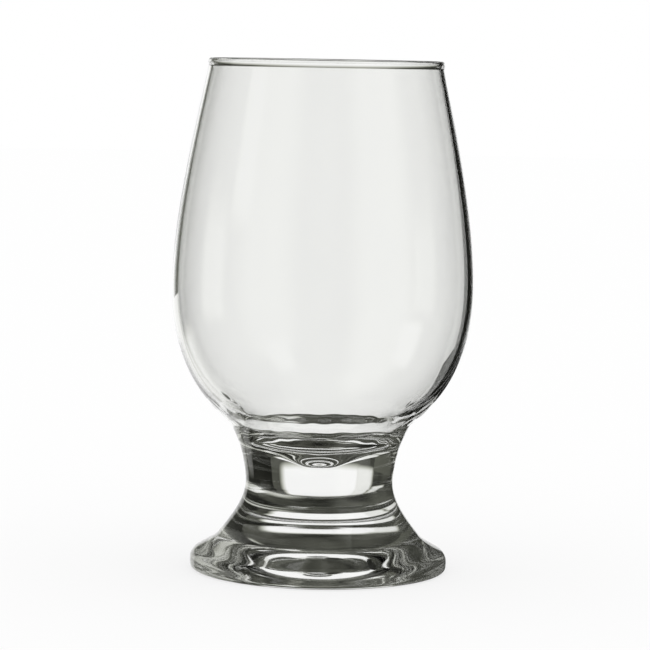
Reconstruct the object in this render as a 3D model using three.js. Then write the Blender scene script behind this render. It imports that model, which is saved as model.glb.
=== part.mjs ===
// A stemmed beer glass: a blown bowl, a solid pressed stem and a pressed foot, joined hot.
// Units are millimetres, +Z is up, and the origin is the middle of the face that it stands on.
import * as THREE from 'three';

// The pieces stand on one another, so each height is the piece's own, from weld to weld
const footHeight = 9;
const stemHeight = 14;
const bowlHeight = 109.6;

// Foot: a flared disc with a rounded edge, hollow underneath, standing on a flat ring
const footRadius = 33.5;
const footEdgeHeight = 1.6;
const footShoulderInset = 0.8;
const footShoulderHeight = 4.6;
const standingRingInset = 2.1;
const standingRingWidth = 1.6;

// Foot, underneath: the hollow rises from the ring to a nearly level crown
const crownRadius = 9.6;
const crownRise = 0.5;
const puntDepth = 4.65;

// Stem: solid glass, waisted at the neck, where the bowl is joined on
const stemFootRadius = 26.3;
const neckRadius = 19.2;

// Bowl, outside: the flare above the neck, the turn into the bowl and the belly are measured up from
// the neck, and the mouth, where the wall straightens, and the foot of the lip down from the rim. The
// lip was melted round: it stands upright, and a hair's breadth out from the wall below it.
const flareRadius = 21.1;
const flareHeight = 10;
const turnRadius = 26.35;
const turnHeight = 18;
const bellyRadius = 39.15;
const bellyHeight = 50.9;
const mouthRadius = 31.1;
const mouthDepth = 5.3;
const lipRadius = 30.5;
const lipStandOut = 0.06;
const lipDepth = 2;

// Bowl, glass thickness: square to the wall at the lip, mouth, belly and turn, and upright at the floor
const lipThickness = 1.4;
const mouthWall = 1.15;
const bellyWall = 1.5;
const turnWall = 2.1;
const floorThickness = 5.8;

// Bowl, inside: below the turn the hollow narrows into a round well, measured up from its floor
const wellRadius = 17.9;
const wellHeight = 6.5;
const wellBottomRadius = 4.2;
const wellBottomHeight = 1.1;

// How finely the round shapes are cut: flats around the axis, steps over the lip, and how far a
// straight step along a profile may stand off its true curve
const flatsAround = 64;
const lipSteps = 6;
const curveTolerance = 0.05;

// A station is a circle that the glass passes through. lean is the angle in degrees from upright,
// outward as the surface rises, and above and below say how strongly the curve on that side of the
// station keeps to the lean, as a share of the distance that the curve spans.
function station(radius, height, lean, above, below) {
  return { radius, height, lean, above, below };
}

// The same station on the inside of a wall, moved square to the surface by the wall's thickness
function inside(outer, wall) {
  const angle = THREE.MathUtils.degToRad(outer.lean);
  const radius = outer.radius - wall * Math.cos(angle);
  const height = outer.height + wall * Math.sin(angle);
  return { ...outer, radius, height };
}

function point(at) {
  return new THREE.Vector2(at.radius, at.height);
}

// The end of a station's handle: up the surface for the curve above it, down it for the one below
function handle(at, other) {
  const rises = other.height > at.height;
  const reach = point(at).distanceTo(point(other)) * (rises ? at.above : -at.below);
  const angle = THREE.MathUtils.degToRad(at.lean);
  return point(at).add(new THREE.Vector2(Math.sin(angle), Math.cos(angle)).multiplyScalar(reach));
}

// How many straight steps keep a curve within the tolerance. The curve turns from one station's lean
// to the lean of its chord, and on to the other station's lean, and a step of length s that turns by
// an angle t stands off a round curve by s * t / 8.
function stepsBetween(from, to) {
  const [lower, upper] = from.height < to.height ? [from, to] : [to, from];
  const chord = point(upper).sub(point(lower));
  const chordLean = THREE.MathUtils.radToDeg(Math.atan2(chord.x, chord.y));
  const turn = Math.abs(from.lean - chordLean) + Math.abs(chordLean - to.lean);
  const bow = (chord.length() * THREE.MathUtils.degToRad(turn)) / 8;
  return Math.max(2, Math.ceil(Math.sqrt(bow / curveTolerance)));
}

// The points of a smooth curve through a list of stations, without the last station's own point
function curveThrough(stations) {
  return stations.slice(1).flatMap((to, i) => {
    const from = stations[i];
    const curve = new THREE.CubicBezierCurve(point(from), handle(from, to), handle(to, from), point(to));
    return curve.getPoints(stepsBetween(from, to)).slice(0, -1);
  });
}

// Turns a profile, which starts and ends on the axis, into a closed solid around +Z
function turned(name, profile, level, material) {
  const geometry = new THREE.LatheGeometry(profile, flatsAround);
  geometry.rotateX(Math.PI / 2);
  const mesh = new THREE.Mesh(geometry, material);
  mesh.name = name;
  mesh.position.z = level;
  return mesh;
}

function clearGlass() {
  return new THREE.MeshStandardMaterial({
    color: 0xf4f8f5, roughness: 0.03, metalness: 0, transparent: true, opacity: 0.35,
  });
}

// The welds, shared by the two pieces that meet there; their heights are given by each piece
const footWeld = { radius: stemFootRadius, lean: -38.5, above: 0.37, below: 0.35 };
const bowlWeld = { radius: neckRadius, lean: 0, above: 0.29, below: 0.31 };

function makeFoot() {
  const ringOuter = station(footRadius - standingRingInset, 0, 90, 0.5, 0);
  const edge = station(footRadius, footEdgeHeight, 0, 0.26, 0.55);
  const shoulder = station(footRadius - footShoulderInset, footShoulderHeight, -39, 0.15, 0.5);
  const top = { ...footWeld, height: footHeight };
  const ringInner = station(ringOuter.radius - standingRingWidth, 0, -76.5, 0.24, 0);
  const crown = station(crownRadius, puntDepth - crownRise, -87, 0.18, 0.38);
  const puntTop = station(0, puntDepth, -90, 0, 0.4);
  const profile = [
    ...curveThrough([puntTop, crown, ringInner]),
    point(ringInner),
    ...curveThrough([ringOuter, edge, shoulder, top]),
    point(top),
    new THREE.Vector2(0, footHeight),
  ];
  return turned('foot', profile, 0, clearGlass());
}

function makeStem() {
  const bottom = { ...footWeld, height: 0 };
  const top = { ...bowlWeld, height: stemHeight };
  const profile = [
    new THREE.Vector2(0, 0),
    ...curveThrough([bottom, top]),
    point(top),
    new THREE.Vector2(0, stemHeight),
  ];
  return turned('stem', profile, footHeight, clearGlass());
}

function makeBowl() {
  const lipRound = lipThickness / 2;
  const bottom = { ...bowlWeld, height: 0 };
  const flare = station(flareRadius, flareHeight, 23, 0.63, 0.18);
  const turn = station(turnRadius, turnHeight, 50, 0.23, 0.4);
  const belly = station(bellyRadius, bellyHeight, 0, 0.3, 0.48);
  const mouth = station(mouthRadius, bowlHeight - mouthDepth, -12, 0.37, 0.3);
  const lipFoot = station(lipRadius - lipStandOut, bowlHeight - lipDepth, -10, 0.1, 0.33);
  const lip = station(lipRadius, bowlHeight - lipRound, 0, 0, 0.75);
  const innerFloor = station(0, floorThickness, 90, 0.43, 0);
  const wellBottom = station(wellBottomRadius, floorThickness + wellBottomHeight, 58, 0.33, 0.53);
  const well = station(wellRadius, floorThickness + wellHeight, 47, 0.6, 0.19);
  const innerTurn = { ...inside(turn, turnWall), lean: 53, above: 0.23, below: 0.51 };
  const innerBelly = inside(belly, bellyWall);
  const innerMouth = inside(mouth, mouthWall);
  const innerLip = station(lipRadius - lipThickness, lip.height, -6, 0, 0.33);
  const roundLip = new THREE.Path().absarc(lipRadius - lipRound, lip.height, lipRound, 0, Math.PI);
  const profile = [
    new THREE.Vector2(0, 0),
    ...curveThrough([bottom, flare, turn, belly, mouth, lipFoot, lip]),
    ...roundLip.getPoints(lipSteps),
    ...curveThrough([innerLip, innerMouth, innerBelly, innerTurn]).slice(1),
    ...curveThrough([innerTurn, well, wellBottom, innerFloor]),
    point(innerFloor),
  ];
  return turned('bowl', profile, footHeight + stemHeight, clearGlass());
}

const glass = new THREE.Group();
glass.add(makeFoot(), makeStem(), makeBowl());

export default glass;
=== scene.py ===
# %% [markdown]
# # A stemmed beer glass
# The glass is clear, so nearly all that the eye sees of it is bent light: bright panels and dark gaps of
# the studio, squeezed by thick and thin glass. The scene is made in that order: the frame, the outline,
# the three pieces of glass, what glass does to light, then the studio around it and the camera.

# %% Load the frame
import math

import bmesh
import bpy
from mathutils import Matrix, Vector, noise
from mathutils.geometry import interpolate_bezier


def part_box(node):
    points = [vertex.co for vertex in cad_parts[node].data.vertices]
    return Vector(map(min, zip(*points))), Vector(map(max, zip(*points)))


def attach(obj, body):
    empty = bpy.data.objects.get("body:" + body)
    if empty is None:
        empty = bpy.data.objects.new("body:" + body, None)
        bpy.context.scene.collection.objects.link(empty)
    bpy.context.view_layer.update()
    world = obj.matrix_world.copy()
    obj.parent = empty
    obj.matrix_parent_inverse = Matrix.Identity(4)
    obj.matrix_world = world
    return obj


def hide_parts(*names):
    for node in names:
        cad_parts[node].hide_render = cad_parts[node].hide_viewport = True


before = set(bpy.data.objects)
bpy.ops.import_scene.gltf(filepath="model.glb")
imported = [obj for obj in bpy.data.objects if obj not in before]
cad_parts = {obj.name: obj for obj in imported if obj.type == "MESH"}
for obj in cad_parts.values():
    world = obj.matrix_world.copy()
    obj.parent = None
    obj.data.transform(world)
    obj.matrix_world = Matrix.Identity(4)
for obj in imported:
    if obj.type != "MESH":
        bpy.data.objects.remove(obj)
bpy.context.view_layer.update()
foot_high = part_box("foot")[1]
stem_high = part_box("stem")[1]
bowl_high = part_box("bowl")[1]
print("nodes:", sorted(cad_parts), "height:", round(bowl_high[2], 4))

# %% [markdown]
# ## The outline
# A blown and pressed glass is round, so one outline turned about its axis gives its whole surface. The
# outline could be a list of many measured points, but then no one could change it. Here it is a few
# stations, the circles where the form changes, with smooth curves between them. A station says how far
# the glass leans outward there, in degrees from upright, and how strongly the curve above it and the
# curve below it keep to that lean, as a share of the distance to the next station.

# %% Stations and the curves between them
MM = 0.001
CURVE_STEPS = 24


def station(radius, height, lean, above=0.0, below=0.0):
    """A circle that the glass passes through, in metres, with its lean in degrees from upright."""
    return {"radius": radius, "height": height, "lean": lean, "above": above, "below": below}


def moved(at, **changes):
    """The same station with some of its values changed."""
    return {**at, **changes}


def inside(outer, wall):
    """The station on the inside of a wall, square to the surface."""
    angle = math.radians(outer["lean"])
    radius = outer["radius"] - wall * math.cos(angle)
    height = outer["height"] + wall * math.sin(angle)
    return moved(outer, radius=radius, height=height)


def point(at):
    """A station's place on the profile, in the XZ plane."""
    return Vector((at["radius"], 0.0, at["height"]))


def on_axis(at):
    """The point on the axis at a station's height."""
    return Vector((0, 0, at["height"]))


def handle(at, other):
    """The end of the handle that aims the curve from one station to another."""
    share = at["above"] if other["height"] > at["height"] else -at["below"]
    reach = (point(at) - point(other)).length * share
    angle = math.radians(at["lean"])
    return point(at) + Vector((math.sin(angle), 0.0, math.cos(angle))) * reach


def curve_through(*stations):
    """The points of a smooth curve through the stations, without the last station's own point."""
    points = []
    for start, end in zip(stations, stations[1:]):
        handles = handle(start, end), handle(end, start)
        curve = interpolate_bezier(point(start), *handles, point(end), CURVE_STEPS)
        points.extend(curve[:-1])
    return points


# %% The stations that two pieces share, on the frame's heights
NECK_RADIUS = 19.2 * MM
STEM_FOOT_RADIUS = 26.3 * MM

rim_height = bowl_high[2]
neck_height = stem_high[2]
foot_weld_height = foot_high[2]
neck = station(NECK_RADIUS, neck_height, 0, above=0.29, below=0.31)
foot_weld = station(STEM_FOOT_RADIUS, foot_weld_height, -38.5, above=0.37, below=0.35)
print("heights of rim, neck and foot weld:", rim_height, neck_height, foot_weld_height)

# %% [markdown]
# ## Turning a profile into glass
# A lathe in Blender is the spin operator: it sweeps the profile's edges round the axis, and the points
# that lie on the axis close the ends. The pieces of a real glass are fused, so there is no air between
# them. Here each piece is its own closed solid, with a hair's breadth between the two flat weld faces,
# and the weld faces get a second material that lets light straight through, so the light bends only
# where the real glass has a surface.
#
# Hot glass that is pressed or drawn doesn't come out quite true. Where it chilled first, its skin has
# folds from a few hundredths to a few tenths of a millimetre deep, which clear glass shows as bright and
# dark squiggles. They are modelled, by moving the skin in and out with smooth noise in the zones where
# the real glass has them.

# %% Folds in the skin
# Each zone: height of its middle, half its height, how deep the folds are, how far they are apart, and
# how closely they keep to the mould's two seams, 0 for folds all the way round
FOLD_ZONES = [
    (38.5 * MM, 7.5 * MM, 0.07 * MM, 3.2 * MM, 0),
    (40.5 * MM, 4.5 * MM, 0.45 * MM, 4.2 * MM, 12),
    (6.2 * MM, 2.6 * MM, 0.03 * MM, 9.0 * MM, 0),
]


def fold_depth(place):
    """How far the skin stands out at a place, from all zones together."""
    depth = 0.0
    for middle, half, deep, apart, gathered in FOLD_ZONES:
        share = 1 - abs(place.z - middle) / half
        if share > 0:
            fade = share * share * (3 - 2 * share)
            if gathered:
                fade *= (abs(place.x) / math.hypot(place.x, place.y)) ** gathered
            depth += fade * deep * noise.noise(place / apart)
    return depth


print("fold zones:", len(FOLD_ZONES))

# %% Spinning a closed piece of glass
SPIN_STEPS = 256
SAME_POINT = 0.0005 * MM
WELD_GAP = 0.01 * MM
WELD_FLATNESS = WELD_GAP / 10
GLASS, WELD = 0, 1


def add_object(name, shape):
    """Puts a bmesh into the scene as an object of its own."""
    mesh = bpy.data.meshes.new(name)
    shape.to_mesh(mesh)
    shape.free()
    added = bpy.data.objects.new(name, mesh)
    bpy.context.collection.objects.link(added)
    return added


def spun(profile):
    """A closed skin from a profile that starts and ends on the axis."""
    shape = bmesh.new()
    row = [shape.verts.new(place) for place in profile]
    edges = [shape.edges.new(pair) for pair in zip(row, row[1:])]
    bmesh.ops.spin(shape, geom=row + edges, axis=(0, 0, 1), cent=(0, 0, 0), dvec=(0, 0, 0),
                   angle=math.tau, steps=SPIN_STEPS, use_merge=True, use_duplicate=False)
    bmesh.ops.remove_doubles(shape, verts=shape.verts, dist=SAME_POINT)
    bmesh.ops.recalc_face_normals(shape, faces=shape.faces)
    shape.normal_update()
    return shape


def is_level(face, height):
    return all(abs(vert.co.z - height) < WELD_FLATNESS for vert in face.verts)


def turned_glass(name, profile, weld_heights):
    """A piece of glass with folds in its skin and flat weld faces at the given heights."""
    shape = spun(profile)
    for vert in shape.verts:
        vert.co += vert.normal * fold_depth(vert.co)
    for face in shape.faces:
        welded = any(is_level(face, height) for height in weld_heights)
        face.material_index = WELD if welded else GLASS
        face.smooth = not welded
    for edge in shape.edges:
        edge.smooth = len({face.material_index for face in edge.link_faces}) == 1
    piece = add_object(name, shape)
    print(name, "faces:", len(piece.data.polygons))
    return piece


def finish_piece(piece, node, materials):
    """Gives a piece its materials and lets it stand for its CAD node."""
    for material in materials:
        piece.data.materials.append(material)
    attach(piece, "root")
    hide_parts(node)


# %% [markdown]
# ## The bowl
# The bowl is blown: its wall is thin at the mouth and belly, and below the turn the hollow narrows into
# a round well with thick glass about it. The lip was cut and melted round in a flame. The outside and
# the inside are two runs of one profile, and the inside follows the outside at a wall's thickness.

# %% The bowl's outside: heights up from the neck, depths down from the rim
FLARE_RADIUS = 21.1 * MM
FLARE_HEIGHT = 10 * MM
TURN_RADIUS = 26.35 * MM
TURN_HEIGHT = 18 * MM
BELLY_HEIGHT = 50.9 * MM
MOUTH_RADIUS = 31.1 * MM
MOUTH_DEPTH = 5.3 * MM
LIP_RADIUS = 30.5 * MM
LIP_STAND_OUT = 0.06 * MM
LIP_DEPTH = 2.0 * MM
LIP_THICKNESS = 1.4 * MM

lip_round = LIP_THICKNESS / 2
flare = station(FLARE_RADIUS, neck_height + FLARE_HEIGHT, 23, above=0.63, below=0.18)
turn = station(TURN_RADIUS, neck_height + TURN_HEIGHT, 50, above=0.23, below=0.4)
belly = station(bowl_high[0], neck_height + BELLY_HEIGHT, 0, above=0.3, below=0.48)
mouth = station(MOUTH_RADIUS, rim_height - MOUTH_DEPTH, -12, above=0.37, below=0.3)
lip_foot = station(LIP_RADIUS - LIP_STAND_OUT, rim_height - LIP_DEPTH, -10, above=0.1, below=0.33)
lip = station(LIP_RADIUS, rim_height - lip_round, 0, below=0.75)
print("belly radius:", round(belly["radius"], 5), "lip radius:", lip["radius"])

# %% The bowl's inside, and the whole bowl
MOUTH_WALL = 1.15 * MM
BELLY_WALL = 1.5 * MM
TURN_WALL = 2.1 * MM
FLOOR_THICKNESS = 5.8 * MM
WELL_RADIUS = 17.9 * MM
WELL_HEIGHT = 6.5 * MM
WELL_BOTTOM_RADIUS = 4.2 * MM
WELL_BOTTOM_HEIGHT = 1.1 * MM
LIP_STEPS = 16


def hollow():
    """The stations of the bowl's inside, from the lip down to the middle of its floor."""
    floor_height = neck_height + FLOOR_THICKNESS
    return [
        moved(lip, radius=LIP_RADIUS - LIP_THICKNESS, lean=-6, below=0.33),
        inside(mouth, MOUTH_WALL),
        inside(belly, BELLY_WALL),
        moved(inside(turn, TURN_WALL), lean=53, above=0.23, below=0.51),
        station(WELL_RADIUS, floor_height + WELL_HEIGHT, 47, above=0.6, below=0.19),
        station(WELL_BOTTOM_RADIUS, floor_height + WELL_BOTTOM_HEIGHT, 58, above=0.33, below=0.53),
        station(0, floor_height, 90, above=0.43),
    ]


def bowl_profile():
    bottom = moved(neck, height=neck_height + WELD_GAP / 2)
    profile = [on_axis(bottom)]
    profile += curve_through(bottom, flare, turn, belly, mouth, lip_foot, lip)
    for step in range(LIP_STEPS):
        angle = math.pi * step / LIP_STEPS
        across = LIP_RADIUS - lip_round + lip_round * math.cos(angle)
        profile.append(Vector((across, 0, lip["height"] + lip_round * math.sin(angle))))
    stations = hollow()
    profile += curve_through(*stations)
    profile.append(point(stations[-1]))
    return profile


bowl = turned_glass("glass_bowl", bowl_profile(), [neck_height + WELD_GAP / 2])

# %% [markdown]
# ## The stem
# The stem is short, thick and solid. It flares down from the neck to the foot in one curve.

# %% Stem
stem_bottom = moved(foot_weld, height=foot_weld_height + WELD_GAP / 2)
stem_top = moved(neck, height=neck_height - WELD_GAP / 2)
stem_profile = [on_axis(stem_bottom)] + curve_through(stem_bottom, stem_top)
stem_profile += [point(stem_top), on_axis(stem_top)]
stem = turned_glass("glass_stem", stem_profile, [stem_bottom["height"], stem_top["height"]])

# %% [markdown]
# ## The foot
# The foot is pressed: a flared disc with a rounded edge. It stands on a flat ring, and the middle of its
# underside is hollow, so that it doesn't rock.

# %% Foot
EDGE_HEIGHT = 1.6 * MM
SHOULDER_INSET = 0.8 * MM
SHOULDER_HEIGHT = 4.6 * MM
STANDING_RING_INSET = 2.1 * MM
STANDING_RING_WIDTH = 1.6 * MM
PUNT_DEPTH = 4.65 * MM
CROWN_RADIUS = 9.6 * MM
CROWN_RISE = 0.5 * MM


def foot_profile():
    foot_radius = foot_high[0]
    ring_outer = station(foot_radius - STANDING_RING_INSET, 0, 90, above=0.5)
    ring_inner = station(ring_outer["radius"] - STANDING_RING_WIDTH, 0, -76.5, above=0.24)
    edge = station(foot_radius, EDGE_HEIGHT, 0, above=0.26, below=0.55)
    shoulder = station(foot_radius - SHOULDER_INSET, SHOULDER_HEIGHT, -39, above=0.15, below=0.5)
    punt_top = station(0, PUNT_DEPTH, -90, below=0.4)
    crown = station(CROWN_RADIUS, PUNT_DEPTH - CROWN_RISE, -87, above=0.18, below=0.38)
    top = moved(foot_weld, height=foot_weld_height - WELD_GAP / 2)
    profile = curve_through(punt_top, crown, ring_inner) + [point(ring_inner)]
    profile += curve_through(ring_outer, edge, shoulder, top)
    profile += [point(top), on_axis(top)]
    return profile


foot = turned_glass("glass_foot", foot_profile(), [foot_weld_height - WELD_GAP / 2])

# %% [markdown]
# ## Clear glass
# Soda-lime glass bends light with an index of about 1.52 and has a faint green tint. Both glasses here
# share one ripple, a node group that puts out a height: the blown bowl has long, upright ripples from
# being drawn out as it turned, and the pressed glass has shorter ones that lie round it. A bump node
# turns the height into a tilt of the surface. A shader that traced every shadow ray through the glass
# would be slow and noisy, so shadow rays pass as through clear air.

# %% The ripple that both glasses share
RIPPLE_DETAIL = 1.5


def ripple_group():
    group = bpy.data.node_groups.new("glass_ripple", "ShaderNodeTree")
    group.interface.new_socket("Stretch", in_out="INPUT", socket_type="NodeSocketVector")
    group.interface.new_socket("Fineness", in_out="INPUT", socket_type="NodeSocketFloat")
    group.interface.new_socket("Height", in_out="OUTPUT", socket_type="NodeSocketFloat")
    nodes, links = group.nodes, group.links
    start = nodes.new("NodeGroupInput")
    end = nodes.new("NodeGroupOutput")
    place = nodes.new("ShaderNodeTexCoord")
    stretch = nodes.new("ShaderNodeVectorMath")
    stretch.operation = "MULTIPLY"
    waves = nodes.new("ShaderNodeTexNoise")
    waves.inputs["Detail"].default_value = RIPPLE_DETAIL
    links.new(place.outputs["Object"], stretch.inputs[0])
    links.new(start.outputs["Stretch"], stretch.inputs[1])
    links.new(stretch.outputs["Vector"], waves.inputs["Vector"])
    links.new(start.outputs["Fineness"], waves.inputs["Scale"])
    links.new(waves.outputs["Fac"], end.inputs["Height"])
    return group


glass_ripple = ripple_group()
print("ripple sockets:", [item.name for item in glass_ripple.interface.items_tree])

# %% Glass and weld materials
GLASS_IOR = 1.52
GLASS_TINT = (0.981, 0.984, 0.974, 1)
BLOWN_ROUGHNESS = 0.0
BLOWN_STRETCH = (1, 1, 0.2)
BLOWN_FINENESS = 90
BLOWN_RIPPLE = 0.02 * MM
PRESSED_ROUGHNESS = 0.05
PRESSED_STRETCH = (1, 1, 2.5)
PRESSED_FINENESS = 120
PRESSED_RIPPLE = 0.012 * MM


def empty_material(name):
    """A new material, its nodes and links, and the socket that takes its shader."""
    material = bpy.data.materials.new(name)
    material.use_nodes = True
    nodes = material.node_tree.nodes
    nodes.clear()
    output = nodes.new("ShaderNodeOutputMaterial")
    return material, nodes, material.node_tree.links, output.inputs["Surface"]


def glass_material(name, roughness, stretch, fineness, ripple_height):
    material, nodes, links, surface = empty_material(name)
    mix = nodes.new("ShaderNodeMixShader")
    path = nodes.new("ShaderNodeLightPath")
    clear = nodes.new("ShaderNodeBsdfTransparent")
    glass = nodes.new("ShaderNodeBsdfPrincipled")
    glass.inputs["Base Color"].default_value = GLASS_TINT
    glass.inputs["Roughness"].default_value = roughness
    glass.inputs["IOR"].default_value = GLASS_IOR
    glass.inputs["Transmission Weight"].default_value = 1.0
    ripple = nodes.new("ShaderNodeGroup")
    ripple.node_tree = glass_ripple
    ripple.inputs["Stretch"].default_value = stretch
    ripple.inputs["Fineness"].default_value = fineness
    bump = nodes.new("ShaderNodeBump")
    bump.inputs["Distance"].default_value = ripple_height
    links.new(ripple.outputs["Height"], bump.inputs["Height"])
    links.new(bump.outputs["Normal"], glass.inputs["Normal"])
    links.new(path.outputs["Is Shadow Ray"], mix.inputs["Fac"])
    links.new(glass.outputs["BSDF"], mix.inputs[1])
    links.new(clear.outputs["BSDF"], mix.inputs[2])
    links.new(mix.outputs["Shader"], surface)
    return material


def weld_material():
    material, nodes, links, surface = empty_material("weld")
    clear = nodes.new("ShaderNodeBsdfTransparent")
    links.new(clear.outputs["BSDF"], surface)
    return material


blown_glass = glass_material(
    "blown_glass", BLOWN_ROUGHNESS, BLOWN_STRETCH, BLOWN_FINENESS, BLOWN_RIPPLE)
pressed_glass = glass_material(
    "pressed_glass", PRESSED_ROUGHNESS, PRESSED_STRETCH, PRESSED_FINENESS, PRESSED_RIPPLE)
weld = weld_material()
finish_piece(bowl, "bowl", [blown_glass, weld])
finish_piece(stem, "stem", [pressed_glass, weld])
finish_piece(foot, "foot", [pressed_glass, weld])
print("materials:", blown_glass.name, pressed_glass.name, weld.name)

# %% [markdown]
# ## The studio
# Clear glass has no colour of its own to light, so a photographer lights what it bends: a white sheet
# behind the glass fills its middle, and the dark room beside the sheet draws its edges in black. The
# world here is that room. A ray from the camera that misses the glass sees plain white. Rays that the
# glass bent or reflected see the white panels, each given by its compass direction, width and reach in
# height, and otherwise the dark of the room. The glass is seen from other sides too, so the sheet has
# smaller wings there. All other rays see plain white, which lights the floor evenly.

# %% The panels of the studio
# Each panel: degrees from +Y towards +X, half its width, lowest and highest elevation, softness of its
# edge and brightness
PANEL_VALUES = ("Azimuth", "Half Width", "Lowest", "Highest", "Edge", "Brightness")
PANELS = {
    "sheet": (-1, 22, -38, 6.5, 3, 1.0),
    "sheet, far side": (-27, 7, -38, 6.5, 2, 0.85),
    "left wing": (-45, 9, -38, -14, 3, 0.85),
    "left": (-86, 12, -14, 8, 4, 0.7),
    "soft box": (131, 24, -65, 42, 12, 0.6),
    "high box": (133, 14, 30, 60, 4, 0.9),
    "lamp": (37, 8, 20, 33, 3, 0.8),
    "right floor": (50, 9, -32, -12, 3, 0.6),
    "near right floor": (105, 11, -38, -14, 3, 0.9),
    "front floor": (17, 8, -58, -50, 3, 0.9),
    "top": (0, 180, 65, 90, 3, 0.3),
}


def calculate(tree, operation, *values):
    """The output of a Math node whose inputs are numbers or the outputs of other nodes."""
    node = tree.nodes.new("ShaderNodeMath")
    node.operation = operation
    for socket, value in zip(node.inputs, values):
        if isinstance(value, (int, float)):
            socket.default_value = value
        else:
            tree.links.new(value, socket)
    return node.outputs["Value"]


def panel_group():
    """A node group that puts out how bright a panel is in a given direction."""
    group = bpy.data.node_groups.new("light_panel", "ShaderNodeTree")
    group.interface.new_socket("Direction", in_out="INPUT", socket_type="NodeSocketVector")
    for name in PANEL_VALUES:
        group.interface.new_socket(name, in_out="INPUT", socket_type="NodeSocketFloat")
    group.interface.new_socket("Light", in_out="OUTPUT", socket_type="NodeSocketFloat")
    nodes, links = group.nodes, group.links
    start = nodes.new("NodeGroupInput")
    end = nodes.new("NodeGroupOutput")

    def below(value, limit):
        """1 where value is below limit, fading out over the panel's edge."""
        ramp = nodes.new("ShaderNodeMapRange")
        ramp.interpolation_type = "SMOOTHSTEP"
        fade_start = calculate(group, "SUBTRACT", limit, start.outputs["Edge"])
        fade_end = calculate(group, "ADD", limit, start.outputs["Edge"])
        links.new(value, ramp.inputs["Value"])
        links.new(fade_start, ramp.inputs["From Min"])
        links.new(fade_end, ramp.inputs["From Max"])
        ramp.inputs["To Min"].default_value = 1.0
        ramp.inputs["To Max"].default_value = 0.0
        return ramp.outputs["Result"]

    facing = nodes.new("ShaderNodeVectorRotate")
    facing.rotation_type = "Z_AXIS"
    links.new(start.outputs["Direction"], facing.inputs["Vector"])
    links.new(calculate(group, "RADIANS", start.outputs["Azimuth"]), facing.inputs["Angle"])
    parts = nodes.new("ShaderNodeSeparateXYZ")
    links.new(facing.outputs["Vector"], parts.inputs["Vector"])
    angle = calculate(group, "ARCTAN2", parts.outputs["X"], parts.outputs["Y"])
    from_middle = calculate(group, "ABSOLUTE", calculate(group, "DEGREES", angle))
    elevation = calculate(group, "DEGREES", calculate(group, "ARCSINE", parts.outputs["Z"]))
    across = below(from_middle, start.outputs["Half Width"])
    under = below(elevation, start.outputs["Highest"])
    over = calculate(group, "SUBTRACT", 1.0, below(elevation, start.outputs["Lowest"]))
    mask = calculate(group, "MULTIPLY", across, calculate(group, "MULTIPLY", under, over))
    light = calculate(group, "MULTIPLY", mask, start.outputs["Brightness"])
    links.new(light, end.inputs["Light"])
    return group


light_panel = panel_group()
print("panels:", ", ".join(PANELS))

# %% World
ROOM_DARKEST = 0.01
ROOM_LIGHTEST = 0.1
ROOM_FINENESS = 2.5
ROOM_NOISE_LOW = 0.3
ROOM_NOISE_HIGH = 0.7
ROOM_TINT = (0.97, 1.0, 0.82, 1)
PLAIN_WHITE = (1, 1, 1, 1)


def bent_or_reflected(tree):
    """1 for rays that glass or gloss sent on, 0 for rays from the camera and from matt surfaces."""
    path = tree.nodes.new("ShaderNodeLightPath")
    return calculate(tree, "MAXIMUM", path.outputs["Is Glossy Ray"], path.outputs["Is Transmission Ray"])


def dark_room(nodes, links, direction):
    """How bright the room is beside the panels: dark, with a little clutter."""
    clutter = nodes.new("ShaderNodeTexNoise")
    clutter.inputs["Scale"].default_value = ROOM_FINENESS
    links.new(direction, clutter.inputs["Vector"])
    room = nodes.new("ShaderNodeMapRange")
    room.inputs["From Min"].default_value = ROOM_NOISE_LOW
    room.inputs["From Max"].default_value = ROOM_NOISE_HIGH
    room.inputs["To Min"].default_value = ROOM_DARKEST
    room.inputs["To Max"].default_value = ROOM_LIGHTEST
    links.new(clutter.outputs["Fac"], room.inputs["Value"])
    return room.outputs["Result"]


def studio_world():
    world = bpy.data.worlds.new("studio")
    bpy.context.scene.world = world
    world.use_nodes = True
    tree = world.node_tree
    nodes, links = tree.nodes, tree.links
    nodes.clear()
    output = nodes.new("ShaderNodeOutputWorld")
    direction = nodes.new("ShaderNodeTexCoord").outputs["Generated"]
    brightest = dark_room(nodes, links, direction)
    for name, values in PANELS.items():
        panel = nodes.new("ShaderNodeGroup")
        panel.node_tree = light_panel
        panel.label = name
        for socket, value in zip(PANEL_VALUES, values):
            panel.inputs[socket].default_value = value
        links.new(direction, panel.inputs["Direction"])
        brightest = calculate(tree, "MAXIMUM", panel.outputs["Light"], brightest)
    strength = nodes.new("ShaderNodeMix")
    strength.data_type = "FLOAT"
    strength.inputs["A"].default_value = 1.0
    links.new(bent_or_reflected(tree), strength.inputs["Factor"])
    links.new(brightest, strength.inputs["B"])
    tint = nodes.new("ShaderNodeMix")
    tint.data_type = "RGBA"
    tint.inputs["A"].default_value = ROOM_TINT
    tint.inputs["B"].default_value = PLAIN_WHITE
    links.new(strength.outputs["Result"], tint.inputs["Factor"])
    light = nodes.new("ShaderNodeBackground")
    links.new(tint.outputs["Result"], light.inputs["Color"])
    links.new(strength.outputs["Result"], light.inputs["Strength"])
    links.new(light.outputs["Background"], output.inputs["Surface"])


studio_world()
print("world:", bpy.context.scene.world.name)

# %% [markdown]
# ## The floor
# The glass stands on white paper. Under a white sky that has no shadows but its own soft one, close to
# the foot, the paper renders a shade darker than the background, and its far edge would show as a line.
# So for the camera the paper is mixed with plain white light. The panels reach below the horizon, as
# the white paper in front of a sheet does, so rays that come out of the glass pass through the floor.

# %% Floor
FLOOR_RADIUS = 3.0
FLOOR_SIDES = 96
PAPER_COLOUR = (0.98, 0.98, 0.98, 1)
PAPER_SHARE = 0.3


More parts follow.
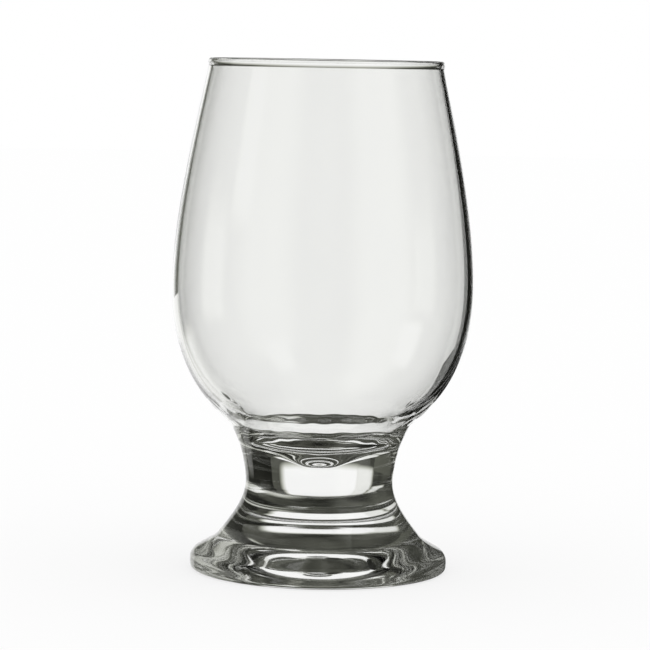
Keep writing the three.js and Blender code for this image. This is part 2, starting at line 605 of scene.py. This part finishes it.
def paper_material():
    material, nodes, links, surface = empty_material("paper")
    paint = nodes.new("ShaderNodeBsdfDiffuse")
    paint.inputs["Color"].default_value = PAPER_COLOUR
    glow = nodes.new("ShaderNodeEmission")
    clear = nodes.new("ShaderNodeBsdfTransparent")
    path = nodes.new("ShaderNodeLightPath")
    tree = material.node_tree
    glow_share = calculate(tree, "MULTIPLY", path.outputs["Is Camera Ray"], 1 - PAPER_SHARE)
    lit = nodes.new("ShaderNodeMixShader")
    links.new(glow_share, lit.inputs["Fac"])
    links.new(paint.outputs["BSDF"], lit.inputs[1])
    links.new(glow.outputs["Emission"], lit.inputs[2])
    seen = nodes.new("ShaderNodeMixShader")
    links.new(bent_or_reflected(tree), seen.inputs["Fac"])
    links.new(lit.outputs["Shader"], seen.inputs[1])
    links.new(clear.outputs["BSDF"], seen.inputs[2])
    links.new(seen.outputs["Shader"], surface)
    return material


def studio_floor():
    shape = bmesh.new()
    bmesh.ops.create_circle(shape, cap_ends=True, segments=FLOOR_SIDES, radius=FLOOR_RADIUS)
    floor = add_object("floor", shape)
    floor.data.materials.append(paper_material())
    return floor


print("floor radius:", studio_floor().dimensions.x / 2)

# %% [markdown]
# ## Dark cards
# The photograph's edges are dark, on the right more than on the left, though the thick stem, which turns
# the room left to right, shows the whole sheet. So the sheet was hidden only from the outer walls, by
# cards that stood near the glass, closer than the sheet. Only rays that the glass bent or reflected see
# them.

# %% Cards
# Each card: its near and far side, how far behind the glass it stands, its bottom, its top at the near
# side and at the far one, and its brightness
CARDS = {
    "right card": (0.082, 0.4, 0.176, -0.3, 0.5, 0.5, 0.01),
    "low right card": (0.05, 0.4, 0.1, -0.3, 0.034, 0.18, 0.01),
    "left card": (-0.12, -0.4, 0.2, 0.048, 0.5, 0.5, 0.11),
}


def card_material(name, brightness):
    material, nodes, links, surface = empty_material(name)
    glow = nodes.new("ShaderNodeEmission")
    glow.inputs["Color"].default_value = ROOM_TINT
    glow.inputs["Strength"].default_value = brightness
    links.new(glow.outputs["Emission"], surface)
    return material


def studio_card(name, near, far, distance, bottom, near_top, far_top, brightness):
    shape = bmesh.new()
    corners = ((near, bottom), (far, bottom), (far, far_top), (near, near_top))
    shape.faces.new([shape.verts.new((across, distance, up)) for across, up in corners])
    card = add_object(name, shape)
    card.data.materials.append(card_material(name, brightness))
    card.visible_camera = False
    card.visible_diffuse = False
    card.visible_shadow = False


for name, sizes in CARDS.items():
    studio_card(name, *sizes)
print("cards:", ", ".join(CARDS))

# %% [markdown]
# ## The camera
# The rim is seen nearly edge on, so the camera stood about level with it, and the roundness of the
# foot's front edge gives the distance. The photograph is turned by about a degree.

# %% Camera
CAMERA_DISTANCE = 0.775
CAMERA_HEIGHT = 0.13664
PITCH = 5.366
ROLL = 1.05
YAW = 0.057
FOCAL_PIXELS = 2993.9
PHOTO_WIDTH = 650
SENSOR = 36.0


def studio_camera():
    data = bpy.data.cameras.new("camera")
    data.sensor_width = SENSOR
    data.lens = FOCAL_PIXELS / PHOTO_WIDTH * SENSOR
    camera = bpy.data.objects.new("camera", data)
    bpy.context.collection.objects.link(camera)
    place = Matrix.Translation((0, -CAMERA_DISTANCE, CAMERA_HEIGHT))
    aim = Matrix.Rotation(math.radians(-YAW), 4, "Z") @ Matrix.Rotation(math.radians(90 - PITCH), 4, "X")
    camera.matrix_world = place @ aim @ Matrix.Rotation(math.radians(ROLL), 4, "Z")
    bpy.context.scene.camera = camera
    return camera


print("lens:", round(studio_camera().data.lens, 1), "mm")

# %% [markdown]
# ## How light is traced
# A ray may cross the bowl's walls and bounce inside the stem many times before it leaves, and each
# crossing counts as a bounce, so glass needs far more bounces than other things do.

# %% Light paths
GLASS_BOUNCES = 32
scene = bpy.context.scene
scene.view_settings.view_transform = "Standard"
scene.cycles.max_bounces = GLASS_BOUNCES
scene.cycles.transmission_bounces = GLASS_BOUNCES
scene.cycles.glossy_bounces = GLASS_BOUNCES
scene.cycles.transparent_max_bounces = GLASS_BOUNCES
scene.cycles.caustics_refractive = False
scene.cycles.caustics_reflective = False
print("bounces:", scene.cycles.max_bounces)
